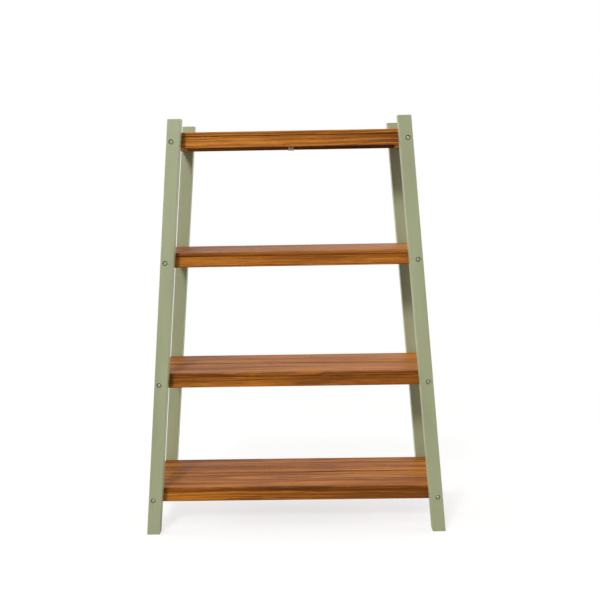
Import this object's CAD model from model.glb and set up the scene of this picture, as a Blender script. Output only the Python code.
"""Ladder shelf: four painted posts that lean in towards the top, four oiled hardwood shelves between them.

Lengths are in metres. The frame gives every place, and the property groups hold the sizes and colours that
can be changed. A board's own axes are X along its grain, Y across it and Z through it.
"""

import math
import random

import bmesh
import bpy
from mathutils import Matrix, Vector


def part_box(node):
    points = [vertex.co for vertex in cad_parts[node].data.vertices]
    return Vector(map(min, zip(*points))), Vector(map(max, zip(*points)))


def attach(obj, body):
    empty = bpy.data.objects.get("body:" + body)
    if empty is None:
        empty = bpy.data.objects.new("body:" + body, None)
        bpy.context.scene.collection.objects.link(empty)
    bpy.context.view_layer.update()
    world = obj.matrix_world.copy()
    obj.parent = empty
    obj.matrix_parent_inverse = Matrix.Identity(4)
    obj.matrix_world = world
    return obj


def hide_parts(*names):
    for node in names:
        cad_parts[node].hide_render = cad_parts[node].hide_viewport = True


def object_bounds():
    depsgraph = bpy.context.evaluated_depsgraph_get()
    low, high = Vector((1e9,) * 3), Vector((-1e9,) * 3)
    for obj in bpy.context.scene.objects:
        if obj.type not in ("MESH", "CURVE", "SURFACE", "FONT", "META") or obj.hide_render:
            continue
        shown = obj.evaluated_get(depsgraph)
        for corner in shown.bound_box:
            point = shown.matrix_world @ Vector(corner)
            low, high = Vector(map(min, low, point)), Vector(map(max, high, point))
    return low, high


bl_info = {
    "name": "Ladder shelf",
    "version": (1, 0, 0),
    "blender": (4, 5, 0),
    "location": "3D View > Sidebar > Ladder Shelf",
    "description": "Makes a painted ladder shelf with oiled hardwood shelves on its packed frame",
    "category": "Object",
}

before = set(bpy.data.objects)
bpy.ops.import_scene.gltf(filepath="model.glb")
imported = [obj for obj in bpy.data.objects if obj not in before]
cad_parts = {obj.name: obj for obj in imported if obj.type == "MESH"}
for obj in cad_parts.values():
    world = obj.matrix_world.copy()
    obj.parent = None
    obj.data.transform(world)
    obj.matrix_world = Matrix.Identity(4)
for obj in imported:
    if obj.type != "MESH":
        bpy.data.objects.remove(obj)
CAD_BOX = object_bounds()

TIERS = ("bottom", "lower", "upper", "top")
SIDES = ("left", "right")
ENDS = ("front", "rear")
BODY = "root"
TOUCH = 0.0005            # vertices this close to a plane lie on it
SEED = 41                 # starts every random choice
MM = 0.001
SHARP = 38                # degrees between two faces of a board, past which their shared edge looks sharp

# tone of each tier's aprons, then of its slats, at the left and the right end: above 0 is lighter than the
# usual wood and below 0 is darker
APRON_TONES = {
    "bottom": (0.00, -0.54), "lower": (-0.20, -0.22), "upper": (-0.05, -0.23), "top": (0.05, -0.44)}
SLAT_TONES = {
    "bottom": (-0.19, -0.15), "lower": (-0.19, -0.02), "upper": (-0.32, 0.00), "top": (-0.03, 0.05)}
RAIL_TONES = (-0.10, 0.0)                # range that the tone of a rail or a batten is drawn from
# how much more oil each tier's slats took up on their long sides: 0 is none, 1 is as much as an end
SLAT_STAIN = {"bottom": 1.0, "lower": 0.7, "upper": 0.7, "top": 0.2}
# how far from the heart of its tree each kind of board lay, in metres: the nearer, the more its bands curve
TREE_DEPTH = {"post": 0.06, "slat": 0.075, "apron": 0.09, "rail": 0.08}

ALONG_X = (0, 0, 0)                      # turns of a board, from its own axes to the frame's
ALONG_Y = (0, 0, math.pi / 2)
UPRIGHT = (0, -math.pi / 2, 0)

# angle of each light to the left, its angle above the floor and its apparent size, in degrees
LIGHTS = {"key": (16, 27, 10), "left": (93, 8, 40), "right": (-93, 8, 40), "overhead": (12, 60, 45)}


# ---------------------------------------------------------------- small helpers

def srgb(code):
    """Linear colour, as the shaders take it, of an sRGB hex code."""
    parts = [int(code[i:i + 2], 16) / 255 for i in (1, 3, 5)]
    return tuple(c / 12.92 if c <= 0.04045 else ((c + 0.055) / 1.055) ** 2.4 for c in parts)


def rgba(colour):
    return (*colour[:3], 1.0)


def middle(node):
    low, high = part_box(node)
    return (low + high) / 2


def size(node):
    low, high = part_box(node)
    return high - low


def shown(sockets, key=0):
    """A node's socket by its name, or by its place among the sockets that its settings leave in use."""
    in_use = [s for s in sockets if s.enabled]
    return in_use[key] if isinstance(key, int) else next(s for s in in_use if s.name == key)


def add(tree, kind, inputs=None, **settings):
    """Adds a node with its settings. An input takes a value, a socket, or a node's first output."""
    item = tree.nodes.new(kind)
    for name, value in settings.items():
        setattr(item, name, value)
    for key, value in (inputs or {}).items():
        socket = shown(item.inputs, key)
        if isinstance(value, bpy.types.Node):
            value = shown(value.outputs)
        if isinstance(value, bpy.types.NodeSocket):
            tree.links.new(value, socket)
        else:
            socket.default_value = value
    return item


def link_object(name, mesh):
    piece = bpy.data.objects.new(name, mesh)
    bpy.context.scene.collection.objects.link(piece)
    return piece


def settle(piece):
    """Applies the piece's modifiers, so that it is a plain mesh."""
    graph = bpy.context.evaluated_depsgraph_get()
    mesh = bpy.data.meshes.new_from_object(
        piece.evaluated_get(graph), preserve_all_data_layers=True, depsgraph=graph)
    piece.modifiers.clear()
    piece.data = mesh
    mesh.name = piece.name
    return piece


def discard(*pieces):
    for piece in pieces:
        bpy.data.objects.remove(piece)


def keep(piece, slot, *nodes):
    """The piece stands for those CAD nodes and rides on the shelf's one body."""
    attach(piece, BODY)
    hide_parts(*nodes)


# ---------------------------------------------------------------- node trees

def new_geometry_tree(name, sockets):
    """A Geometry Nodes tree with named inputs, and its input and output nodes."""
    tree = bpy.data.node_groups.new(name, "GeometryNodeTree")
    tree.interface.new_socket("Geometry", in_out="INPUT", socket_type="NodeSocketGeometry")
    for label, kind in sockets.items():
        tree.interface.new_socket(label, in_out="INPUT", socket_type="NodeSocket" + kind)
    tree.interface.new_socket("Geometry", in_out="OUTPUT", socket_type="NodeSocketGeometry")
    return tree, tree.nodes.new("NodeGroupInput").outputs, tree.nodes.new("NodeGroupOutput").inputs


def grow(tree, name, base=None, finishing=(), **values):
    """Runs a Geometry Nodes tree on a new object and keeps the result as a plain mesh."""
    piece = link_object(name, base or bpy.data.meshes.new(name))
    modifier = piece.modifiers.new(tree.name, "NODES")
    modifier.node_group = tree
    for item in tree.interface.items_tree:
        label = item.name.lower().replace(" ", "_")
        if item.in_out == "INPUT" and label in values:
            modifier[item.identifier] = values[label]
    for kind in finishing:
        piece.modifiers.new(kind.title(), kind)
    return settle(piece)


def board_tree():
    """A board with rounded edges and ends, set in its place, with holes cut by another object.

    It stores two attributes for the finishes. grain is the place in the wood in the board's own axes. wear
    holds how far a point lies on an end or a stained long side, how far on a rounded edge, and the tone of
    the wood there, which fades from the board's left end to its right end.
    """
    tree, given, result = new_geometry_tree("Board", {
        "Length": "Float", "Width": "Float", "Thickness": "Float", "Edge radius": "Float",
        "End radius": "Float", "Centre": "Vector", "Turn": "Rotation", "Lean": "Float",
        "Grain start": "Vector", "Tone": "Float", "Fade": "Float", "Side stain": "Float", "Cutters": "Object",
        "Finish": "Material"})
    steps = 3                                    # faces across a quarter of a rounded edge
    count = 2 * steps + 2
    cube = add(tree, "GeometryNodeMeshCube",
               {"Size": (2, 2, 2), "Vertices X": count, "Vertices Y": count, "Vertices Z": count})
    corner = add(tree, "GeometryNodeInputPosition")
    sign = add(tree, "ShaderNodeVectorMath", {0: corner}, operation="SIGN")
    reach = add(tree, "ShaderNodeVectorMath", {0: corner}, operation="ABSOLUTE")
    # 0 where the flat of a face ends, 1 on the outside of the rounding
    rounding = add(tree, "ShaderNodeVectorMath",
                   {0: reach, 1: ((2 * steps + 1) / (2 * steps),) * 3, 2: (-1 / (2 * steps),) * 3},
                   operation="MULTIPLY_ADD")
    outwards = add(tree, "ShaderNodeVectorMath", {0: rounding, 1: sign}, operation="MULTIPLY")
    facing = add(tree, "ShaderNodeVectorMath", {0: outwards}, operation="NORMALIZE")
    radius = add(tree, "ShaderNodeCombineXYZ",
                 {"X": given["End radius"], "Y": given["Edge radius"], "Z": given["Edge radius"]})
    extent = add(tree, "ShaderNodeCombineXYZ",
                 {"X": given["Length"], "Y": given["Width"], "Z": given["Thickness"]})
    half = add(tree, "ShaderNodeVectorMath", {0: extent, "Scale": 0.5}, operation="SCALE")
    flat = add(tree, "ShaderNodeVectorMath", {0: half, 1: radius}, operation="SUBTRACT")
    inner = add(tree, "ShaderNodeVectorMath", {0: flat, 1: sign}, operation="MULTIPLY")
    place = add(tree, "ShaderNodeVectorMath", {0: facing, 1: radius, 2: inner}, operation="MULTIPLY_ADD")
    turned = add(tree, "FunctionNodeRotateVector", {"Vector": place, "Rotation": given["Turn"]})
    parts = add(tree, "ShaderNodeSeparateXYZ", {0: turned})
    leant = add(tree, "ShaderNodeMath",
                {0: parts.outputs["Z"], 1: given["Lean"], 2: parts.outputs["X"]}, operation="MULTIPLY_ADD")
    shifted = add(tree, "ShaderNodeCombineXYZ",
                  {"X": leant, "Y": parts.outputs["Y"], "Z": parts.outputs["Z"]})
    final = add(tree, "ShaderNodeVectorMath", {0: shifted, 1: given["Centre"]}, operation="ADD")

    placed = add(tree, "GeometryNodeSetPosition",
                 {"Geometry": shown(cube.outputs, "Mesh"), "Position": final})
    cutters = add(tree, "GeometryNodeObjectInfo", {"Object": given["Cutters"]}, transform_space="ORIGINAL")
    cut = add(tree, "GeometryNodeMeshBoolean",
              {"Mesh 1": placed, "Mesh 2": shown(cutters.outputs, "Geometry")},
              operation="DIFFERENCE", solver="EXACT")

    # the grain and the wear run through the holes too, so they are read back from the finished shape
    here = add(tree, "GeometryNodeInputPosition")
    from_centre = add(tree, "ShaderNodeVectorMath", {0: here, 1: given["Centre"]}, operation="SUBTRACT")
    back = add(tree, "ShaderNodeSeparateXYZ", {0: from_centre})
    lean_off = add(tree, "ShaderNodeMath", {0: back.outputs["Z"], 1: given["Lean"]}, operation="MULTIPLY")
    upright = add(tree, "ShaderNodeMath", {0: back.outputs["X"], 1: lean_off}, operation="SUBTRACT")
    straight = add(tree, "ShaderNodeCombineXYZ",
                   {"X": upright, "Y": back.outputs["Y"], "Z": back.outputs["Z"]})
    unturn = add(tree, "FunctionNodeInvertRotation", {0: given["Turn"]})
    own = add(tree, "FunctionNodeRotateVector", {"Vector": straight, "Rotation": unturn})
    in_wood = add(tree, "ShaderNodeVectorMath", {0: own, 1: given["Grain start"]}, operation="ADD")
    grained = add(tree, "GeometryNodeStoreNamedAttribute",
                  {"Geometry": shown(cut.outputs, "Mesh"), "Name": "grain", "Value": in_wood},
                  data_type="FLOAT_VECTOR", domain="POINT")

    # outer is 1 where a face lies or a rounding ends, and 0 inside the board; its length is 1 all over the
    # outside
    distance = add(tree, "ShaderNodeVectorMath", {0: own}, operation="ABSOLUTE")
    past_flat = add(tree, "ShaderNodeVectorMath", {0: distance, 1: flat}, operation="SUBTRACT")
    in_round = add(tree, "ShaderNodeVectorMath", {0: past_flat, 1: (0, 0, 0)}, operation="MAXIMUM")
    outer = add(tree, "ShaderNodeVectorMath", {0: in_round, 1: radius}, operation="DIVIDE")
    square = add(tree, "ShaderNodeVectorMath", {0: outer, 1: outer}, operation="MULTIPLY")
    whole = add(tree, "ShaderNodeVectorMath", {0: outer, 1: outer}, operation="DOT_PRODUCT")
    flatness = add(tree, "ShaderNodeVectorMath", {0: square, 1: square}, operation="DOT_PRODUCT")
    bent = add(tree, "ShaderNodeMath", {0: whole.outputs["Value"], 1: flatness.outputs["Value"]},
               operation="SUBTRACT")
    on_edge = add(tree, "ShaderNodeMath", {0: bent, 1: 2.0}, operation="MULTIPLY", use_clamp=True)
    sides = add(tree, "ShaderNodeSeparateXYZ", {0: square})
    stained = add(tree, "ShaderNodeMath",
                  {0: sides.outputs["Y"], 1: given["Side stain"], 2: sides.outputs["X"]},
                  operation="MULTIPLY_ADD")
    share = add(tree, "ShaderNodeVectorMath", {0: own, 1: half}, operation="DIVIDE")
    along = add(tree, "ShaderNodeSeparateXYZ", {0: share})
    faded = add(tree, "ShaderNodeMath",
                {0: along.outputs["X"], 1: given["Fade"], 2: given["Tone"]}, operation="MULTIPLY_ADD")
    wear = add(tree, "ShaderNodeCombineXYZ", {"X": stained, "Y": on_edge, "Z": faded})
    marked = add(tree, "GeometryNodeStoreNamedAttribute",
                 {"Geometry": grained, "Name": "wear", "Value": wear},
                 data_type="FLOAT_VECTOR", domain="POINT")

    smooth = add(tree, "GeometryNodeSetShadeSmooth",
                 {"Geometry": marked, "Shade Smooth": True}, domain="FACE")
    angle = add(tree, "GeometryNodeInputMeshEdgeAngle")
    sharp = add(tree, "ShaderNodeMath", {0: angle, 1: math.radians(SHARP)}, operation="GREATER_THAN")
    edged = add(tree, "GeometryNodeSetShadeSmooth",
                {"Geometry": smooth, "Selection": sharp, "Shade Smooth": False}, domain="EDGE")
    real = add(tree, "GeometryNodeRealizeInstances", {"Geometry": edged})
    coated = add(tree, "GeometryNodeSetMaterial", {"Geometry": real, "Material": given["Finish"]})
    tree.links.new(shown(coated.outputs), result[0])
    return tree


def fastener_tree():
    """One part repeated at every point, along the point's aim, each turned by its own chance amount."""
    tree, given, result = new_geometry_tree("Fasteners", {
        "Part": "Object", "Most turn": "Float", "Seed": "Int", "Finish": "Material"})
    points = add(tree, "GeometryNodeMeshToPoints", {"Mesh": given["Geometry"]})
    aim = add(tree, "GeometryNodeInputNamedAttribute", {"Name": "aim"}, data_type="FLOAT_VECTOR")
    along = add(tree, "FunctionNodeAlignRotationToVector", {"Vector": aim}, axis="Z")
    chance = add(tree, "FunctionNodeRandomValue",
                 {"Min": 0.0, "Max": given["Most turn"], "Seed": given["Seed"]}, data_type="FLOAT")
    spin = add(tree, "FunctionNodeAxisAngleToRotation", {"Axis": (0, 0, 1), "Angle": chance})
    both = add(tree, "FunctionNodeRotateRotation",
               {"Rotation": along, "Rotate By": spin}, rotation_space="LOCAL")
    part = add(tree, "GeometryNodeObjectInfo", {"Object": given["Part"]}, transform_space="ORIGINAL")
    copies = add(tree, "GeometryNodeInstanceOnPoints",
                 {"Points": points, "Instance": shown(part.outputs, "Geometry"), "Rotation": both})
    real = add(tree, "GeometryNodeRealizeInstances", {"Geometry": copies})
    coated = add(tree, "GeometryNodeSetMaterial", {"Geometry": real, "Material": given["Finish"]})
    tree.links.new(shown(coated.outputs), result[0])
    return tree


def get_tree(make):
    """The tree that a function makes, made once."""
    if make.__name__ not in TREES:
        TREES[make.__name__] = make()
    return TREES[make.__name__]


TREES = {}


# ---------------------------------------------------------------- mesh parts

def turned_part(name, outline, segments):
    """A closed part turned about Z from (radius, height) points; a radius of 0 is its pole."""
    shape = bmesh.new()
    rings = []
    for radius, height in outline:
        if radius == 0:
            rings.append([shape.verts.new((0, 0, height))])
        else:
            turns = [2 * math.pi * i / segments for i in range(segments)]
            places = [(radius * math.cos(t), radius * math.sin(t), height) for t in turns]
            rings.append([shape.verts.new(place) for place in places])
    for lower, upper in zip(rings, rings[1:]):
        for i in range(segments):
            j = (i + 1) % segments
            corners = [lower[i % len(lower)], lower[j % len(lower)],
                       upper[j % len(upper)], upper[i % len(upper)]]
            shape.faces.new(list(dict.fromkeys(corners)))
    return finish_part(name, shape)


def prism(name, outline, low, high):
    """A closed part with an (x, y) outline between two heights."""
    shape = bmesh.new()
    floor = [shape.verts.new((x, y, low)) for x, y in outline]
    roof = [shape.verts.new((x, y, high)) for x, y in outline]
    shape.faces.new(floor)
    shape.faces.new(roof)
    for i in range(len(outline)):
        j = (i + 1) % len(outline)
        shape.faces.new((floor[i], floor[j], roof[j], roof[i]))
    return finish_part(name, shape)


def finish_part(name, shape):
    bmesh.ops.recalc_face_normals(shape, faces=shape.faces)
    mesh = bpy.data.meshes.new(name)
    shape.to_mesh(mesh)
    shape.free()
    return link_object(name, mesh)


def arc(centre, radius, start, end, steps):
    """Points on an arc, from one angle in degrees to another."""
    angles = [math.radians(start + (end - start) * i / steps) for i in range(steps + 1)]
    return [(centre[0] + radius * math.cos(a), centre[1] + radius * math.sin(a)) for a in angles]


def carve(piece, *cutters):
    """Cuts the cutters out of the piece, and shades it smooth except at its edges."""
    for cutter in cutters:
        modifier = piece.modifiers.new("Cut", "BOOLEAN")
        modifier.operation = "DIFFERENCE"
        modifier.solver = "EXACT"
        modifier.object = cutter
    settle(piece)
    discard(*cutters)
    return shade(piece)


def shade(piece, angle=35):
    piece.data.shade_smooth()
    piece.data.set_sharp_from_angle(angle=math.radians(angle))
    return piece


def repeat(name, part, places, finish=None, most_turn=0.0):
    """Copies of a part at (place, aim) pairs, as one mesh."""
    mesh = bpy.data.meshes.new(name)
    mesh.from_pydata([place for place, _ in places], [], [])
    aims = mesh.attributes.new("aim", "FLOAT_VECTOR", "POINT")
    for item, (_, aim) in zip(aims.data, places):
        item.vector = aim
    return grow(get_tree(fastener_tree), name, mesh, part=part, finish=finish, most_turn=most_turn, seed=SEED)


# ---------------------------------------------------------------- places

def side_sign(side):
    return -1 if side == "left" else 1


def end_sign(end):
    return -1 if end == "front" else 1


def bolt_places(side, end):
    """Places of one post's bolts on its outer face, aimed into the post."""
    low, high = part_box(f"{side}_{end}_post")
    face = low.y if end == "front" else high.y
    rails = [middle(f"{tier}_{side}_end_rail") for tier in TIERS]
    return [(Vector((rail.x, face, rail.z)), Vector((0, -end_sign(end), 0))) for rail in rails]


def nut_places(hardware, tier, side):
    """Open ends of one end rail's two barrel nuts, aimed outwards along the nut."""
    rail = middle(f"{tier}_{side}_end_rail")
    inwards = -side_sign(side)
    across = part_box("barrel_nuts")[1].y - hardware.barrel_width / 2
    start = rail.x + inwards * hardware.barrel_length / 2
    return [(Vector((start, way * across, rail.z)), Vector((inwards, 0, 0))) for way in (-1, 1)]


def screw_places(hardware, tier, columns):
    """Undersides of a tier's slat screw heads in those columns: left, middle, right. They aim up."""
    low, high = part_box(f"{tier}_slat_screws")
    far = high.y - hardware.screw_head / 2
    near = hardware.screw_near
    at = {side: middle(f"{tier}_{side}_end_rail").x for side in SIDES}
    at["middle"] = 0.0
    up = Vector((0, 0, 1))
    return [(Vector((at[column], y, low.z)), up) for column in columns for y in (-far, -near, near, far)]


def post_shape(node):
    """A post's width along X, and its lean."""
    low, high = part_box(node)
    corners = [v.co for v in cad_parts[node].data.vertices]
    foot = [c.x for c in corners if c.z < low.z + TOUCH]
    head = [c.x for c in corners if c.z > high.z - TOUCH]
    foot_mid, head_mid = ((min(xs) + max(xs)) / 2 for xs in (foot, head))
    return max(foot) - min(foot), (head_mid - foot_mid) / (high.z - low.z)


# ---------------------------------------------------------------- finishes

def per_mm(*lengths):
    """Scale of a pattern whose features are so many millimetres long on each axis."""
    return tuple(1 / (length * MM) for length in lengths)


def new_material(name):
    """An empty material, with its tree and its shader, which goes to the output."""
    material = bpy.data.materials.new(name)
    material.use_nodes = True
    tree = material.node_tree
    tree.nodes.clear()
    shader = add(tree, "ShaderNodeBsdfPrincipled")
    add(tree, "ShaderNodeOutputMaterial", {"Surface": shader})
    return material, tree, shader


def oiled_hardwood(name, colours, roughness):
    """Oiled eucalyptus hardwood, planed and sanded.

    Growth bands 2 to 6 mm wide run along the board and drift a few millimetres over its length. Finer fibres,
    dark pores about 0.6 mm wide (drawn wider than real ones, so that they show) and slow changes of tone lie
    over them. The oil gives a soft, low sheen, and end grain drinks more of it, so it is darker.
    """
    material, tree, shader = new_material(name)
    grain = shown(add(tree, "ShaderNodeAttribute", attribute_name="grain").outputs, "Vector")
    worn = shown(add(tree, "ShaderNodeAttribute", attribute_name="wear").outputs, "Vector")
    wear = add(tree, "ShaderNodeSeparateXYZ", {0: worn})

    drift_at = add(tree, "ShaderNodeVectorMath", {0: grain, 1: per_mm(420, 60, 60)}, operation="MULTIPLY")
    drift = add(tree, "ShaderNodeTexNoise",
                {"Vector": drift_at, "Scale": 1.0, "Detail": 2.0, "Roughness": 0.45})
    swing = add(tree, "ShaderNodeVectorMath",
                {0: drift.outputs["Color"], 1: (0, 26 * MM, 26 * MM), 2: grain}, operation="MULTIPLY_ADD")
    across = add(tree, "ShaderNodeVectorMath", {0: swing, 1: (0, 1, 1)}, operation="MULTIPLY")
    ring = add(tree, "ShaderNodeVectorMath", {0: across}, operation="LENGTH")
    bands = add(tree, "ShaderNodeTexNoise",
                {"W": ring.outputs["Value"], "Scale": 1 / (5.5 * MM), "Detail": 3.0, "Roughness": 0.62},
                noise_dimensions="1D")
    fibre_at = add(tree, "ShaderNodeVectorMath", {0: swing, 1: per_mm(120, 1.9, 1.9)}, operation="MULTIPLY")
    fibres = add(tree, "ShaderNodeTexNoise",
                 {"Vector": fibre_at, "Scale": 1.0, "Detail": 3.0, "Roughness": 0.6})
    patch_at = add(tree, "ShaderNodeVectorMath", {0: swing, 1: per_mm(520, 34, 34)}, operation="MULTIPLY")
    patches = add(tree, "ShaderNodeTexNoise", {"Vector": patch_at, "Scale": 1.0, "Detail": 1.5})
    pore_at = add(tree, "ShaderNodeVectorMath", {0: swing, 1: per_mm(16, 0.75, 0.75)}, operation="MULTIPLY")
    pore_noise = add(tree, "ShaderNodeTexNoise", {"Vector": pore_at, "Scale": 1.0, "Detail": 1.0})
    pores = add(tree, "ShaderNodeMapRange",
                {"Value": pore_noise, "From Min": 0.60, "From Max": 0.72, "To Min": 0.0, "To Max": 1.0},
                interpolation_type="SMOOTHSTEP")

    # one value from dark to light: bands, fibres, slow patches and the board's own tone
    banded = add(tree, "ShaderNodeMath", {0: bands, 1: 0.95, 2: -0.475}, operation="MULTIPLY_ADD")
    fibred = add(tree, "ShaderNodeMath", {0: fibres, 1: 1.15, 2: -0.575}, operation="MULTIPLY_ADD")
    patched = add(tree, "ShaderNodeMath", {0: patches, 1: 1.1, 2: -0.05}, operation="MULTIPLY_ADD")
    figure = add(tree, "ShaderNodeMath", {0: banded, 1: fibred}, operation="ADD")
    figured = add(tree, "ShaderNodeMath", {0: figure, 1: patched}, operation="ADD")
    toned = add(tree, "ShaderNodeMath", {0: figured, 1: wear.outputs["Z"]}, operation="ADD", use_clamp=True)
    ramp = add(tree, "ShaderNodeValToRGB", {"Fac": toned})
    dark, mid, light = colours
    ramp.color_ramp.elements[0].position = 0.12
    ramp.color_ramp.elements[0].color = rgba(dark)
    ramp.color_ramp.elements[1].position = 0.90
    ramp.color_ramp.elements[1].color = rgba(light)
    ramp.color_ramp.elements.new(0.50).color = rgba(mid)

    darkening = add(tree, "ShaderNodeMath", {0: wear.outputs["X"], 1: 0.45}, operation="MULTIPLY")
    pored = add(tree, "ShaderNodeMath", {0: pores, 1: 0.40, 2: darkening},
                operation="MULTIPLY_ADD", use_clamp=True)
    colour = add(tree, "ShaderNodeMix", {"Factor": pored, "A": ramp, "B": rgba(dark)},
                 data_type="RGBA", blend_type="MULTIPLY")
    tree.links.new(shown(colour.outputs), shader.inputs["Base Color"])

    rough = add(tree, "ShaderNodeMapRange",
                {"Value": fibres, "From Min": 0.3, "From Max": 0.7,
                 "To Min": roughness + 0.06, "To Max": roughness - 0.05})
    rougher = add(tree, "ShaderNodeMath", {0: pores, 1: 0.25, 2: rough},
                  operation="MULTIPLY_ADD", use_clamp=True)
    tree.links.new(shown(rougher.outputs), shader.inputs["Roughness"])
    # the oil has soaked in and leaves no film, so the gloss is weak
    shader.inputs["Specular IOR Level"].default_value = 0.09
    relief = add(tree, "ShaderNodeMath", {0: pores, 1: -1.0, 2: fibres}, operation="MULTIPLY_ADD")
    bump = add(tree, "ShaderNodeBump", {"Height": relief, "Strength": 0.35, "Distance": 0.12 * MM})
    tree.links.new(shown(bump.outputs), shader.inputs["Normal"])
    return material


def satin_paint(name, colour, rubbed):
    """Satin lacquer paint sprayed on planed hardwood.

    The grain telegraphs through as faint ridges along the post, over a fine spray texture. The film is
    thinner and a little greyer on the rounded edges, and the tone drifts by a few percent.
    """
    material, tree, shader = new_material(name)
    grain = shown(add(tree, "ShaderNodeAttribute", attribute_name="grain").outputs, "Vector")
    worn = shown(add(tree, "ShaderNodeAttribute", attribute_name="wear").outputs, "Vector")
    wear = add(tree, "ShaderNodeSeparateXYZ", {0: worn})
    ridge_at = add(tree, "ShaderNodeVectorMath", {0: grain, 1: per_mm(160, 2.4, 2.4)}, operation="MULTIPLY")
    ridges = add(tree, "ShaderNodeTexNoise", {"Vector": ridge_at, "Scale": 1.0, "Detail": 3.0})
    cloud_at = add(tree, "ShaderNodeVectorMath", {0: grain, 1: per_mm(300, 60, 60)}, operation="MULTIPLY")
    clouds = add(tree, "ShaderNodeTexNoise", {"Vector": cloud_at, "Scale": 1.0, "Detail": 2.0})
    spray = add(tree, "ShaderNodeTexNoise", {"Vector": grain, "Scale": 1 / (1.4 * MM), "Detail": 2.0})
    tone = add(tree, "ShaderNodeMath", {0: ridges, 1: 0.30, 2: clouds}, operation="MULTIPLY_ADD")
    drift = add(tree, "ShaderNodeMapRange",
                {"Value": tone, "From Min": 0.45, "From Max": 0.85, "To Min": 0.0, "To Max": 1.0})
    light = tuple(min(1.0, c * 1.07) for c in colour)
    deep = tuple(c * 0.93 for c in colour)
    body = add(tree, "ShaderNodeMix", {"Factor": drift, "A": rgba(deep), "B": rgba(light)}, data_type="RGBA")
    edge = add(tree, "ShaderNodeMath", {0: wear.outputs["Y"], 1: 0.55}, operation="MULTIPLY")
    edged = add(tree, "ShaderNodeMix", {"Factor": edge, "A": body, "B": rgba(rubbed)}, data_type="RGBA")
    tree.links.new(shown(edged.outputs), shader.inputs["Base Color"])
    rough = add(tree, "ShaderNodeMapRange",
                {"Value": spray, "From Min": 0.3, "From Max": 0.7, "To Min": 0.38, "To Max": 0.48})
    tree.links.new(shown(rough.outputs), shader.inputs["Roughness"])
    relief = add(tree, "ShaderNodeMath", {0: spray, 1: 0.25, 2: ridges}, operation="MULTIPLY_ADD")
    bump = add(tree, "ShaderNodeBump", {"Height": relief, "Strength": 0.25, "Distance": 0.10 * MM})
    tree.links.new(shown(bump.outputs), shader.inputs["Normal"])
    return material


def zinc_plate(name, colour):
    """Zinc-plated steel, cold headed: pale grey metal, dulled in patches, with small tool marks."""
    material, tree, shader = new_material(name)
    place = shown(add(tree, "ShaderNodeTexCoord").outputs, "Object")
    marks = add(tree, "ShaderNodeTexNoise", {"Vector": place, "Scale": 1 / (1.2 * MM), "Detail": 3.0})
    haze = add(tree, "ShaderNodeTexNoise", {"Vector": place, "Scale": 1 / (5.0 * MM), "Detail": 1.0})
    dull = tuple(c * 0.72 for c in colour)
    tint = add(tree, "ShaderNodeMix", {"Factor": haze, "A": rgba(dull), "B": rgba(colour)}, data_type="RGBA")
    tree.links.new(shown(tint.outputs), shader.inputs["Base Color"])
    shader.inputs["Metallic"].default_value = 1.0
    rough = add(tree, "ShaderNodeMapRange",
                {"Value": marks, "From Min": 0.3, "From Max": 0.7, "To Min": 0.56, "To Max": 0.72})
    tree.links.new(shown(rough.outputs), shader.inputs["Roughness"])
    bump = add(tree, "ShaderNodeBump", {"Height": marks, "Strength": 0.2, "Distance": 0.05 * MM})
    tree.links.new(shown(bump.outputs), shader.inputs["Normal"])
    return material


def powder_coat(name, colour):
    """Ivory powder coat baked on steel: a fine, even orange peel with a low sheen."""
    material, tree, shader = new_material(name)
    place = shown(add(tree, "ShaderNodeTexCoord").outputs, "Object")
    peel = add(tree, "ShaderNodeTexNoise", {"Vector": place, "Scale": 1 / (0.8 * MM), "Detail": 2.0})
    deep = tuple(c * 0.93 for c in colour)
    tint = add(tree, "ShaderNodeMix", {"Factor": peel, "A": rgba(deep), "B": rgba(colour)}, data_type="RGBA")
    tree.links.new(shown(tint.outputs), shader.inputs["Base Color"])
    shader.inputs["Roughness"].default_value = 0.42
    bump = add(tree, "ShaderNodeBump", {"Height": peel, "Strength": 0.3, "Distance": 0.08 * MM})
    tree.links.new(shown(bump.outputs), shader.inputs["Normal"])
    return material


def turned_beech(name, colour):
    """Dry turned beech dowel: pale, matt, with short brown flecks along the grain."""
    material, tree, shader = new_material(name)
    place = shown(add(tree, "ShaderNodeTexCoord").outputs, "Object")
    fleck_at = add(tree, "ShaderNodeVectorMath", {0: place, 1: per_mm(4.0, 0.6, 0.6)}, operation="MULTIPLY")
    flecks = add(tree, "ShaderNodeTexNoise", {"Vector": fleck_at, "Scale": 1.0, "Detail": 2.0})
    spots = add(tree, "ShaderNodeMapRange",
                {"Value": flecks, "From Min": 0.55, "From Max": 0.70, "To Min": 0.0, "To Max": 1.0})
    brown = tuple(c * 0.55 for c in colour)
    tint = add(tree, "ShaderNodeMix", {"Factor": spots, "A": rgba(colour), "B": rgba(brown)},
               data_type="RGBA")
    tree.links.new(shown(tint.outputs), shader.inputs["Base Color"])
    shader.inputs["Roughness"].default_value = 0.7
    return material


def get_finish(scene, name):
    """A finish by its name, made once from the colours in the panel."""
    if name in FINISHES:
        return FINISHES[name]
    colours = scene.ladder_shelf_colours
    wood = (colours.wood_dark, colours.wood_mid, colours.wood_light)
    makers = {
        "painted_post": lambda: satin_paint("sage_satin_paint", colours.paint, colours.paint_edge),
        "shelf_wood": lambda: oiled_hardwood("oiled_hardwood", wood, 0.46),
        "frame_wood": lambda: oiled_hardwood("oiled_hardwood_frame", wood, 0.55),
        "zinc_steel": lambda: zinc_plate("zinc_plated_steel", colours.zinc),
        "ivory_steel": lambda: powder_coat("ivory_powder_coat", colours.ivory),
        "dowel_beech": lambda: turned_beech("turned_beech", colours.beech),
    }
    FINISHES[name] = makers[name]()
    return FINISHES[name]


FINISHES = {}


# ---------------------------------------------------------------- boards

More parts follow.
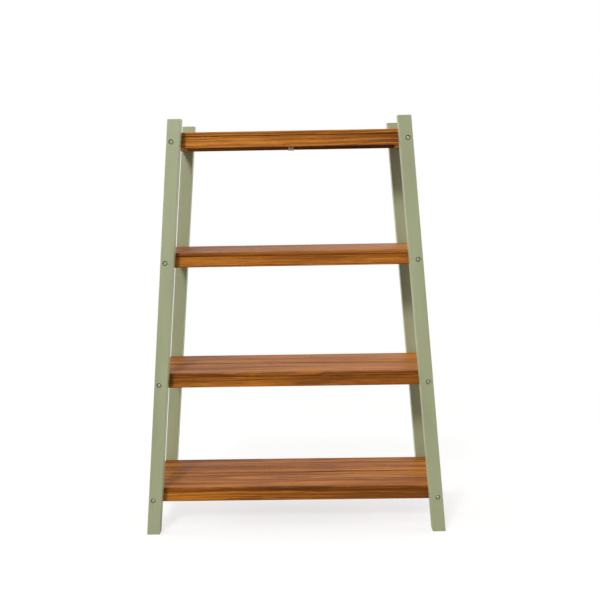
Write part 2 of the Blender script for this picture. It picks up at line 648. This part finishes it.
def wood_start(chance, kind):
    """Where a board was cut from its tree: a start along the grain, and how far off the heart lies."""
    depth = TREE_DEPTH[kind]
    side = chance.choice((-1, 1))
    along = chance.uniform(0, 30)
    beside = side * chance.uniform(0.3, 1.0) * depth
    above = chance.uniform(0.6, 1.3) * depth
    return along, beside, above


def make_board(scene, node, finish, turn, edge, end, start, tones=(0.0, 0.0), stain=0.0, cutters=None,
               lean=0.0, width=None):
    """One board in the place and the size of its CAD node. Its tones are those of its left and right ends."""
    extent, centre = size(node), middle(node)
    spans = {ALONG_X: (extent.x, extent.y, extent.z), ALONG_Y: (extent.y, extent.x, extent.z),
             UPRIGHT: (extent.z, extent.y, width)}[turn]
    piece = grow(get_tree(board_tree), "made_" + node, finishing=("WEIGHTED_NORMAL",),
                 length=spans[0], width=spans[1], thickness=spans[2], edge_radius=edge, end_radius=end,
                 centre=centre, turn=turn, lean=lean, grain_start=start, tone=(tones[1] + tones[0]) / 2,
                 fade=(tones[1] - tones[0]) / 2, side_stain=stain, cutters=cutters,
                 finish=get_finish(scene, finish))
    keep(piece, finish, node)
    return piece


# ---------------------------------------------------------------- settings

class LadderShelfTimber(bpy.types.PropertyGroup):
    """Sizes of the boards' edges and holes"""
    post_edge: bpy.props.FloatProperty(
        name="Post edge", description="Radius on a post's long edges", default=0.002, unit="LENGTH")
    post_end: bpy.props.FloatProperty(
        name="Post end", description="Radius round a post's top and foot", default=0.0012, unit="LENGTH")
    slat_edge: bpy.props.FloatProperty(
        name="Slat edge", description="Radius on a slat's long edges", default=0.004, unit="LENGTH")
    frame_edge: bpy.props.FloatProperty(
        name="Frame edge", description="Radius on the edges of aprons, rails and battens", default=0.0015,
        unit="LENGTH")
    board_end: bpy.props.FloatProperty(
        name="Board end", description="Radius round a board's ends", default=0.001, unit="LENGTH")
    recess_width: bpy.props.FloatProperty(
        name="Recess width", description="Diameter of the recess for a bolt's head", default=0.0145,
        unit="LENGTH")
    recess_depth: bpy.props.FloatProperty(
        name="Recess depth", description="Depth of the recess for a bolt's head", default=0.0044,
        unit="LENGTH")
    recess_rim: bpy.props.FloatProperty(
        name="Recess rim", description="Bevel round the mouth of a hole", default=0.0006, unit="LENGTH")


class LadderShelfHardware(bpy.types.PropertyGroup):
    """Sizes of the bolts, nuts, screws and the tether bracket"""
    bolt_width: bpy.props.FloatProperty(
        name="Bolt", description="Diameter of a bolt's shank", default=0.006, unit="LENGTH")
    bolt_length: bpy.props.FloatProperty(
        name="Bolt length", description="Length of a bolt under its head", default=0.075, unit="LENGTH")
    bolt_head: bpy.props.FloatProperty(
        name="Bolt head", description="Diameter of a bolt's domed head", default=0.0105, unit="LENGTH")
    bolt_head_height: bpy.props.FloatProperty(
        name="Head height", description="Height of a bolt's head", default=0.0033, unit="LENGTH")
    bolt_key: bpy.props.FloatProperty(
        name="Hexagon key", description="Width across the flats of the bolt's socket", default=0.004,
        unit="LENGTH")
    bolt_thread: bpy.props.FloatProperty(
        name="Thread", description="Length of a bolt's thread", default=0.024, unit="LENGTH")
    barrel_width: bpy.props.FloatProperty(
        name="Barrel nut", description="Diameter of a barrel nut", default=0.010, unit="LENGTH")
    barrel_length: bpy.props.FloatProperty(
        name="Nut length", description="Length of a barrel nut", default=0.016, unit="LENGTH")
    screw_width: bpy.props.FloatProperty(
        name="Screw", description="Diameter of a slat screw's shank", default=0.0035, unit="LENGTH")
    screw_head: bpy.props.FloatProperty(
        name="Screw head", description="Diameter of a slat screw's head", default=0.007, unit="LENGTH")
    screw_head_height: bpy.props.FloatProperty(
        name="Screw head height", description="Thickness of a slat screw's head", default=0.0024,
        unit="LENGTH")
    screw_near: bpy.props.FloatProperty(
        name="Inner screws", description="Distance of the inner screws from the middle line", default=0.0255,
        unit="LENGTH")
    bracket_sheet: bpy.props.FloatProperty(
        name="Bracket sheet", description="Thickness of the tether bracket", default=0.0024, unit="LENGTH")
    tether_hole: bpy.props.FloatProperty(
        name="Tether hole", description="Diameter of the bracket's hole", default=0.0055, unit="LENGTH")


class LadderShelfColours(bpy.types.PropertyGroup):
    """Colours of the finishes"""
    paint: bpy.props.FloatVectorProperty(
        name="Paint", description="Sage paint on the posts", subtype="COLOR", default=srgb("#8c906f"))
    paint_edge: bpy.props.FloatVectorProperty(
        name="Paint edge", description="Thinner paint on rounded edges", subtype="COLOR",
        default=srgb("#7f836a"))
    wood_dark: bpy.props.FloatVectorProperty(
        name="Dark wood", description="Late growth and pores", subtype="COLOR", default=srgb("#6c3b11"))
    wood_mid: bpy.props.FloatVectorProperty(
        name="Wood", description="Middle tone of the wood", subtype="COLOR", default=srgb("#a4631f"))
    wood_light: bpy.props.FloatVectorProperty(
        name="Light wood", description="Early growth", subtype="COLOR", default=srgb("#c48130"))
    zinc: bpy.props.FloatVectorProperty(
        name="Zinc", description="Plating of bolts, nuts and screws", subtype="COLOR",
        default=srgb("#bcbeb3"))
    ivory: bpy.props.FloatVectorProperty(
        name="Ivory", description="Coating of the tether bracket", subtype="COLOR", default=srgb("#f6f1e2"))
    beech: bpy.props.FloatVectorProperty(
        name="Beech", description="Dowels", subtype="COLOR", default=srgb("#d9b98a"))


class LadderShelfStage(bpy.types.PropertyGroup):
    """The floor, the lights and the camera"""
    floor: bpy.props.FloatVectorProperty(
        name="Floor", description="Matt white floor", subtype="COLOR", default=srgb("#eeedea"))
    key: bpy.props.FloatProperty(
        name="Key light", description="Strength of the round key light at the front left", default=2.28)
    key_distance: bpy.props.FloatProperty(
        name="Key distance", description="Distance of the key light", default=6.5, unit="LENGTH")
    left: bpy.props.FloatProperty(
        name="Left light", description="Strength of the soft light at the left", default=3.8)
    right: bpy.props.FloatProperty(
        name="Right light", description="Strength of the soft light at the right", default=2.7)
    overhead: bpy.props.FloatProperty(
        name="Overhead light", description="Strength of the soft overhead light", default=0.6)
    front: bpy.props.FloatProperty(
        name="Room", description="Strength of the light from the room in front", default=0.38)
    back: bpy.props.FloatProperty(
        name="Backdrop", description="Strength of the light from the white backdrop behind", default=0.9)
    camera_place: bpy.props.FloatVectorProperty(
        name="Camera", description="Where the camera stands", subtype="TRANSLATION",
        default=(0.0376, -2.9210, 1.0096))
    camera_yaw: bpy.props.FloatProperty(
        name="Yaw", description="Turn of the camera to the left", subtype="ANGLE",
        default=math.radians(0.920))
    camera_pitch: bpy.props.FloatProperty(
        name="Pitch", description="Angle that the camera looks down", subtype="ANGLE",
        default=math.radians(8.444))
    camera_roll: bpy.props.FloatProperty(
        name="Roll", description="Roll of the camera", subtype="ANGLE", default=math.radians(-0.992))
    lens: bpy.props.FloatProperty(
        name="Lens", description="Focal length on a 36 mm sensor, in millimetres", default=58.08)
    shift: bpy.props.FloatVectorProperty(
        name="Shift", description="Shift of the lens", size=2, default=(0.0160, 0.0503))


# ---------------------------------------------------------------- operators

class LADDER_SHELF_OT_posts(bpy.types.Operator):
    """Makes the four painted posts, with a recess and a bore for each bolt"""
    bl_idname = "ladder_shelf.posts"
    bl_label = "Painted posts"

    def execute(self, context):
        scene, chance = context.scene, random.Random(SEED)
        timber, hardware = scene.ladder_shelf_timber, scene.ladder_shelf_hardware
        play = 0.2 * MM                           # between a bolt's shank and its bore
        above = 1 * MM                            # the cutter starts this far outside the post
        mouth, bore = timber.recess_width / 2, hardware.bolt_width / 2 + play
        rim, deep, through = timber.recess_rim, timber.recess_depth, hardware.bolt_length
        outline = [(0, -above), (mouth + rim + above, -above), (mouth, rim), (mouth, deep), (bore, deep),
                   (bore, through), (0, through)]
        for side in SIDES:
            for end in ENDS:
                node = f"{side}_{end}_post"
                width, lean = post_shape(node)
                cutter = turned_part("recess", outline, segments=40)
                cutters = repeat("recesses", cutter, bolt_places(side, end))
                make_board(scene, node, "painted_post", UPRIGHT, timber.post_edge, timber.post_end,
                           wood_start(chance, "post"), cutters=cutters, lean=lean, width=width)
                discard(cutter, cutters)
        return {"FINISHED"}


class LADDER_SHELF_OT_slats(bpy.types.Operator):
    """Makes the two slats of each shelf"""
    bl_idname = "ladder_shelf.slats"
    bl_label = "Slats"

    def execute(self, context):
        scene, chance = context.scene, random.Random(SEED + 1)
        timber = scene.ladder_shelf_timber
        for tier in TIERS:
            for end in ENDS:
                make_board(scene, f"{tier}_{end}_slat", "shelf_wood", ALONG_X, timber.slat_edge,
                           timber.board_end, wood_start(chance, "slat"), tones=SLAT_TONES[tier],
                           stain=SLAT_STAIN[tier])
        return {"FINISHED"}


class LADDER_SHELF_OT_aprons(bpy.types.Operator):
    """Makes the front and the rear apron of each shelf"""
    bl_idname = "ladder_shelf.aprons"
    bl_label = "Aprons"

    def execute(self, context):
        scene, chance = context.scene, random.Random(SEED + 2)
        timber = scene.ladder_shelf_timber
        for tier in TIERS:
            for end in ENDS:
                make_board(scene, f"{tier}_{end}_apron", "shelf_wood", ALONG_X, timber.frame_edge,
                           timber.board_end, wood_start(chance, "apron"), tones=APRON_TONES[tier])
        return {"FINISHED"}


class LADDER_SHELF_OT_rails(bpy.types.Operator):
    """Makes the end rails and the middle battens, with holes for the barrel nuts and the screws' heads"""
    bl_idname = "ladder_shelf.rails"
    bl_label = "End rails and battens"

    def execute(self, context):
        scene, chance = context.scene, random.Random(SEED + 3)
        timber, hardware = scene.ladder_shelf_timber, scene.ladder_shelf_hardware
        # no bores are cut for the bolts, the dowels or the screws' shanks, which nothing outside shows
        play, head_play = 0.1 * MM, 0.5 * MM      # round a nut and over a screw's head, then round that head
        below = 40 * MM                           # the screw bore's cutter starts this far under the head
        nut = hardware.barrel_width / 2 + play
        head = hardware.screw_head / 2 + head_play
        head_top = hardware.screw_head_height + play
        reach = hardware.barrel_length
        nut_bore = turned_part("nut_bore", [(0, -reach), (nut, -reach), (nut, reach), (0, reach)],
                               segments=32)
        screw_bore = turned_part("screw_bore", [(0, -below), (head, -below), (head, head_top), (0, head_top)],
                                 segments=24)
        for tier in TIERS:
            for column in ("left", "middle", "right"):
                node = f"{tier}_batten" if column == "middle" else f"{tier}_{column}_end_rail"
                cutters = [repeat("screw_bores", screw_bore, screw_places(hardware, tier, [column]))]
                if column != "middle":
                    cutters.append(repeat("nut_bores", nut_bore, nut_places(hardware, tier, column)))
                joined = join(cutters)
                make_board(scene, node, "frame_wood", ALONG_Y, timber.frame_edge, timber.board_end,
                           wood_start(chance, "rail"), tones=(chance.uniform(*RAIL_TONES),) * 2,
                           cutters=joined)
                discard(joined)
        discard(nut_bore, screw_bore)
        return {"FINISHED"}


def join(pieces):
    """One mesh object of several, which are removed."""
    shape = bmesh.new()
    for piece in pieces:
        shape.from_mesh(piece.data)
    discard(*pieces)
    return finish_part("joined", shape)


class LADDER_SHELF_OT_bolts(bpy.types.Operator):
    """Makes the button-headed bolts in the front and the rear posts"""
    bl_idname = "ladder_shelf.bolts"
    bl_label = "Bolts"

    def execute(self, context):
        scene = context.scene
        timber, hardware = scene.ladder_shelf_timber, scene.ladder_shelf_hardware
        for end in ENDS:
            part = make_bolt(hardware, timber.recess_depth)
            places = [place for side in SIDES for place in bolt_places(side, end)]
            bolts = repeat(f"made_{end}_bolts", part, places, get_finish(scene, "zinc_steel"), math.pi / 3)
            discard(part)
            keep(bolts, "zinc_steel", f"{end}_bolts")
        return {"FINISHED"}


def make_bolt(hardware, seat):
    """A bolt along +Z with the underside of its head at the seat, a hexagon socket and a rolled thread."""
    radius, head = hardware.bolt_width / 2, hardware.bolt_head / 2
    rim = 1 * MM                                  # straight edge under the dome
    chamfer = 0.2 * MM                            # at the underside of the head
    steps = 6                                     # faces from the top of the dome to its edge
    top = seat - hardware.bolt_head_height
    tip = seat + hardware.bolt_length
    sag = hardware.bolt_head_height - rim
    ball = (head ** 2 + sag ** 2) / 2 / sag       # radius of the dome
    drops = [sag * i / steps for i in range(steps + 1)]
    dome = [(math.sqrt(max(0, ball ** 2 - (ball - drop) ** 2)), top + drop) for drop in drops]
    pitch, groove = 1 * MM, 0.4 * MM
    first = tip - hardware.bolt_thread
    turns = int((hardware.bolt_thread - pitch) / pitch)
    thread = [(radius - groove * (i % 2), first + i * pitch / 2) for i in range(2 * turns)]
    outline = [(0, top)] + dome[1:] + [(head, seat - chamfer), (head - chamfer, seat), (radius, seat)]
    outline += thread + [(radius, tip - pitch), (radius - pitch * 0.7, tip), (0, tip)]
    bolt = turned_part("bolt", outline, segments=28)
    across = hardware.bolt_key / 2 / math.cos(math.pi / 6)
    corners = [(across * math.cos(i * math.pi / 3), across * math.sin(i * math.pi / 3)) for i in range(6)]
    key_depth, above = 1.8 * MM, 1 * MM           # depth of the socket, and how far over it the cutter starts
    return carve(bolt, prism("key", corners, top - above, top + key_depth))


class LADDER_SHELF_OT_nuts(bpy.types.Operator):
    """Makes the slotted barrel nuts in the end rails"""
    bl_idname = "ladder_shelf.nuts"
    bl_label = "Barrel nuts"

    def execute(self, context):
        scene = context.scene
        hardware = scene.ladder_shelf_hardware
        radius, length, bevel = hardware.barrel_width / 2, hardware.barrel_length, 0.6 * MM
        slot, slot_depth = 0.7 * MM, 1.4 * MM     # half the slot's width, and its depth
        past = radius + MM                        # half the length of the slot's cutter
        nut = turned_part("nut", [(0, 0), (radius - bevel, 0), (radius, -bevel), (radius, bevel - length),
                                  (radius - bevel, -length), (0, -length)], segments=28)
        groove = prism("groove", [(-past, -slot), (past, -slot), (past, slot), (-past, slot)],
                       -slot_depth, MM)
        carve(nut, groove)
        places = [place for tier in TIERS for side in SIDES for place in nut_places(hardware, tier, side)]
        nuts = repeat("made_barrel_nuts", nut, places, get_finish(scene, "zinc_steel"), math.pi)
        discard(nut)
        keep(nuts, "zinc_steel", "barrel_nuts")
        return {"FINISHED"}


class LADDER_SHELF_OT_screws(bpy.types.Operator):
    """Makes the slat screws under each shelf"""
    bl_idname = "ladder_shelf.screws"
    bl_label = "Slat screws"

    def execute(self, context):
        scene = context.scene
        hardware = scene.ladder_shelf_hardware
        finish = get_finish(scene, "zinc_steel")
        for tier in TIERS:
            part = make_screw(hardware, size(f"{tier}_slat_screws").z)
            places = screw_places(hardware, tier, ("left", "middle", "right"))
            screws = repeat(f"made_{tier}_slat_screws", part, places, finish, math.pi)
            discard(part)
            keep(screws, "zinc_steel", f"{tier}_slat_screws")
        return {"FINISHED"}


def make_screw(hardware, length):
    """A pan-headed wood screw along +Z from the top of its head, with a cross recess and a coarse thread."""
    head, core = hardware.screw_head / 2, hardware.screw_width / 2
    seat = hardware.screw_head_height
    unthreaded, point = 6 * MM, 3 * MM            # neck and point together, and the point alone
    pitch, root = 1.6 * MM, 0.78                  # root is the radius in a groove, as a share of the shank's
    turns = int((length - seat - unthreaded) / pitch)
    start = length - point - turns * pitch
    thread = [(core * (root if i % 2 else 1.0), start + i * pitch / 2) for i in range(2 * turns)]
    pan = [(0, 0), (head * 0.55, 0.1 * MM), (head * 0.86, 0.5 * MM), (head, 1.2 * MM),
           (head, seat - 0.4 * MM), (head - 0.3 * MM, seat), (core, seat)]
    outline = pan + thread + [(core * 0.7, length - 2.6 * MM), (0, length)]
    screw = turned_part("screw", outline, segments=16)
    arm, blade = 2.0 * MM, 0.45 * MM              # half the length and half the width of the cross's bars
    recess_depth = 1.3 * MM
    bars = []
    for turn in (0, 1):
        corners = [(-arm, -blade), (arm, -blade), (arm, blade), (-arm, blade)]
        if turn:
            corners = [(-y, x) for x, y in corners]
        bars.append(prism("bar", corners, -MM, recess_depth))
    return carve(screw, *bars)


class LADDER_SHELF_OT_bracket(bpy.types.Operator):
    """Makes the tether bracket under the top shelf, and its screw"""
    bl_idname = "ladder_shelf.bracket"
    bl_label = "Tether bracket"

    def execute(self, context):
        scene = context.scene
        hardware = scene.ladder_shelf_hardware
        sheet, bend, corner = hardware.bracket_sheet, 1.2 * MM, 2.5 * MM
        sink, land = 1.4 * hardware.bracket_sheet, 0.4 * MM    # the countersink's reach, and where it ends
        play = 0.2 * MM                           # round the screw's shank
        low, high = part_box("tether_bracket")
        # outline in (y, z), looking along X: up the short leg, round the bend and along the long leg
        outline = arc((low.y + sheet + bend, low.z + sheet + bend), sheet + bend, 180, 270, 6)
        outline += [(high.y, low.z), (high.y, low.z + sheet)]
        outline += arc((low.y + sheet + bend, low.z + sheet + bend), bend, 270, 180, 6)
        outline += [(low.y + sheet, high.z), (low.y, high.z)]
        piece = prism("made_tether_bracket", outline, low.x, high.x)
        piece.data.transform(Matrix(((0, 0, 1, 0), (1, 0, 0, 0), (0, 1, 0, 0), (0, 0, 0, 1))))
        piece.data.materials.append(get_finish(scene, "ivory_steel"))
        round_corners(piece, corner, lambda edge: abs(edge.x) < TOUCH and edge.length < sheet + TOUCH)
        _, apron_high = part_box("top_rear_apron")
        hole_at = (apron_high.y + high.y) / 2     # halfway from the apron to the end of the leg
        hole = hardware.tether_hole / 2
        bore = turned_part("bore", [(0, -sheet), (hole + sink, -sheet), (hole, land), (hole, 2 * sheet),
                                    (0, 2 * sheet)], segments=32)
        bore.data.transform(Matrix.Translation((0, hole_at, low.z)))
        screw = middle("tether_screw")
        shank, reach = hardware.screw_width / 2 + play, 3 * sheet
        clear = turned_part("clear", [(0, -reach), (shank, -reach), (shank, reach), (0, reach)], segments=24)
        lie = Matrix.Rotation(math.pi / 2, 4, "X")
        clear.data.transform(Matrix.Translation((0, low.y + sheet, screw.z)) @ lie)
        carve(piece, bore, clear)
        keep(piece, "ivory_steel", "tether_bracket")

        low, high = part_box("tether_screw")
        part = make_screw(hardware, high.y - low.y)
        fastener = repeat("made_tether_screw", part, [(Vector((0, low.y, screw.z)), Vector((0, 1, 0)))],
                          get_finish(scene, "zinc_steel"))
        discard(part)
        keep(fastener, "zinc_steel", "tether_screw")
        return {"FINISHED"}


def round_corners(piece, radius, chosen):
    """Rounds the edges that a test picks, given the edge as a vector."""
    shape = bmesh.new()
    shape.from_mesh(piece.data)
    edges = [e for e in shape.edges if chosen(e.verts[1].co - e.verts[0].co)]
    bmesh.ops.bevel(shape, geom=edges, offset=radius, segments=4, affect="EDGES", profile=0.5)
    bmesh.ops.recalc_face_normals(shape, faces=shape.faces)
    shape.to_mesh(piece.data)
    shape.free()


class LADDER_SHELF_OT_dowels(bpy.types.Operator):
    """Gives the dowels inside the joints their finish"""
    bl_idname = "ladder_shelf.dowels"
    bl_label = "Dowels"

    def execute(self, context):
        for tier in TIERS:
            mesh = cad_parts[f"{tier}_dowels"].data
            mesh.materials.clear()
            mesh.materials.append(get_finish(context.scene, "dowel_beech"))
        return {"FINISHED"}


class LADDER_SHELF_OT_stage(bpy.types.Operator):
    """Sets the floor, the lights and the camera"""
    bl_idname = "ladder_shelf.stage"
    bl_label = "Stage"

    def execute(self, context):
        scene, stage = context.scene, context.scene.ladder_shelf_stage
        make_floor(stage)
        make_lights(scene, stage)
        make_camera(scene, stage)
        scene.view_settings.view_transform = "Standard"
        return {"FINISHED"}


def make_floor(stage):
    """A large matt white floor that runs out into plain white far from the shelf."""
    reach = 40.0
    fade_start, fade_end = 0.7, 2.2               # it turns plain white between these distances
    least_white = 0.7                             # share of plain white near the shelf
    shape = bmesh.new()
    corners = ((-reach, -reach), (reach, -reach), (reach, reach), (-reach, reach))
    shape.faces.new([shape.verts.new((x, y, 0)) for x, y in corners])
    floor = finish_part("floor", shape)
    material = bpy.data.materials.new("matt_white_floor")
    material.use_nodes = True
    tree = material.node_tree
    tree.nodes.clear()
    place = shown(add(tree, "ShaderNodeTexCoord").outputs, "Object")
    distance = add(tree, "ShaderNodeVectorMath", {0: place}, operation="LENGTH")
    far = add(tree, "ShaderNodeMapRange",
              {"Value": distance.outputs["Value"], "From Min": fade_start, "From Max": fade_end,
               "To Min": least_white, "To Max": 1.0}, interpolation_type="SMOOTHSTEP")
    matt = add(tree, "ShaderNodeBsdfDiffuse", {"Color": rgba(stage.floor)})
    outwards = add(tree, "ShaderNodeVectorMath", {0: place}, operation="NORMALIZE")
    strength = surround(tree, stage, outwards)
    glow = add(tree, "ShaderNodeEmission", {"Color": (1, 1, 1, 1), "Strength": strength})
    mixed = add(tree, "ShaderNodeMixShader", {0: far, 1: matt, 2: glow})
    add(tree, "ShaderNodeOutputMaterial", {"Surface": mixed})
    floor.data.materials.append(material)


def surround(tree, stage, direction):
    """Strength of the surroundings: plain white to look at, but they light the shelf more from behind."""
    change = 0.3                                  # how far either side of the middle front turns into back
    path = add(tree, "ShaderNodeLightPath")
    parts = add(tree, "ShaderNodeSeparateXYZ", {0: direction})
    lit = add(tree, "ShaderNodeMapRange",
              {"Value": parts.outputs["Y"], "From Min": -change, "From Max": change,
               "To Min": stage.front, "To Max": stage.back}, interpolation_type="SMOOTHSTEP")
    return add(tree, "ShaderNodeMix", {"Factor": shown(path.outputs, "Is Camera Ray"), "A": lit, "B": 1.0})


def make_lights(scene, stage):
    """White surroundings, a key light at the front left, soft lights at both sides, a weak one overhead."""
    world = bpy.data.worlds.new("white_surround")
    scene.world = world
    world.use_nodes = True
    tree = world.node_tree
    tree.nodes.clear()
    direction = shown(add(tree, "ShaderNodeTexCoord").outputs, "Generated")
    strength = surround(tree, stage, direction)
    white = add(tree, "ShaderNodeBackground", {"Color": (1, 1, 1, 1), "Strength": strength})
    add(tree, "ShaderNodeOutputWorld", {"Surface": white})

    aim = Vector((0, 0, CAD_BOX[1].z * 0.75))     # the key light shines at the upper half of the shelf
    for name, (side, height, spread) in LIGHTS.items():
        side, height, spread = map(math.radians, (side, height, spread))
        level = math.cos(height)
        towards = Vector((-math.sin(side) * level, -math.cos(side) * level, math.sin(height)))
        data = bpy.data.lights.new(name, "AREA" if name == "key" else "SUN")
        data.energy = getattr(stage, name)
        light = bpy.data.objects.new(name, data)
        scene.collection.objects.link(light)
        light.rotation_euler = towards.to_track_quat("Z", "Y").to_euler()
        if name == "key":
            # a round panel that is as strong at the middle of the shelf as a distant light of that strength
            data.shape = "DISK"
            data.size = 2 * stage.key_distance * math.tan(spread / 2)
            data.energy *= math.pi * stage.key_distance ** 2
            light.location = aim + towards * stage.key_distance
            light.visible_camera = False
        else:
            data.angle = spread


def make_camera(scene, stage):
    data = bpy.data.cameras.new("camera")
    data.lens = stage.lens
    data.sensor_width = 36.0
    data.shift_x, data.shift_y = stage.shift
    camera = bpy.data.objects.new("camera", data)
    scene.collection.objects.link(camera)
    yaw = Matrix.Rotation(stage.camera_yaw, 4, "Z")
    pitch = Matrix.Rotation(math.pi / 2 - stage.camera_pitch, 4, "X")
    roll = Matrix.Rotation(stage.camera_roll, 4, "Z")
    camera.matrix_world = Matrix.Translation(stage.camera_place) @ (yaw @ pitch) @ roll
    scene.camera = camera


# ---------------------------------------------------------------- panel and registration

SETTINGS = {
    "ladder_shelf_timber": LadderShelfTimber,
    "ladder_shelf_hardware": LadderShelfHardware,
    "ladder_shelf_colours": LadderShelfColours,
    "ladder_shelf_stage": LadderShelfStage,
}
STEPS = ("posts", "slats", "aprons", "rails", "bolts", "nuts", "screws", "bracket", "dowels", "stage")


class LADDER_SHELF_PT_panel(bpy.types.Panel):
    """Lists the steps that make the shelf, and its settings"""
    bl_idname = "LADDER_SHELF_PT_panel"
    bl_label = "Ladder Shelf"
    bl_space_type = "VIEW_3D"
    bl_region_type = "UI"
    bl_category = "Ladder Shelf"

    def draw(self, context):
        for step in STEPS:
            self.layout.operator("ladder_shelf." + step)
        for name, group in SETTINGS.items():
            box = self.layout.box()
            box.label(text=group.__doc__)
            for setting in group.__annotations__:
                box.prop(getattr(context.scene, name), setting)


CLASSES = (
    *SETTINGS.values(), LADDER_SHELF_OT_posts, LADDER_SHELF_OT_slats, LADDER_SHELF_OT_aprons,
    LADDER_SHELF_OT_rails, LADDER_SHELF_OT_bolts, LADDER_SHELF_OT_nuts, LADDER_SHELF_OT_screws,
    LADDER_SHELF_OT_bracket, LADDER_SHELF_OT_dowels, LADDER_SHELF_OT_stage, LADDER_SHELF_PT_panel,
)


def register():
    for item in CLASSES:
        bpy.utils.register_class(item)
    for name, group in SETTINGS.items():
        setattr(bpy.types.Scene, name, bpy.props.PointerProperty(type=group))


def unregister():
    for name in SETTINGS:
        delattr(bpy.types.Scene, name)
    for item in reversed(CLASSES):
        bpy.utils.unregister_class(item)


def main():
    register()
    for step in STEPS:
        getattr(bpy.ops.ladder_shelf, step)()


if __name__ == "__main__":
    main()
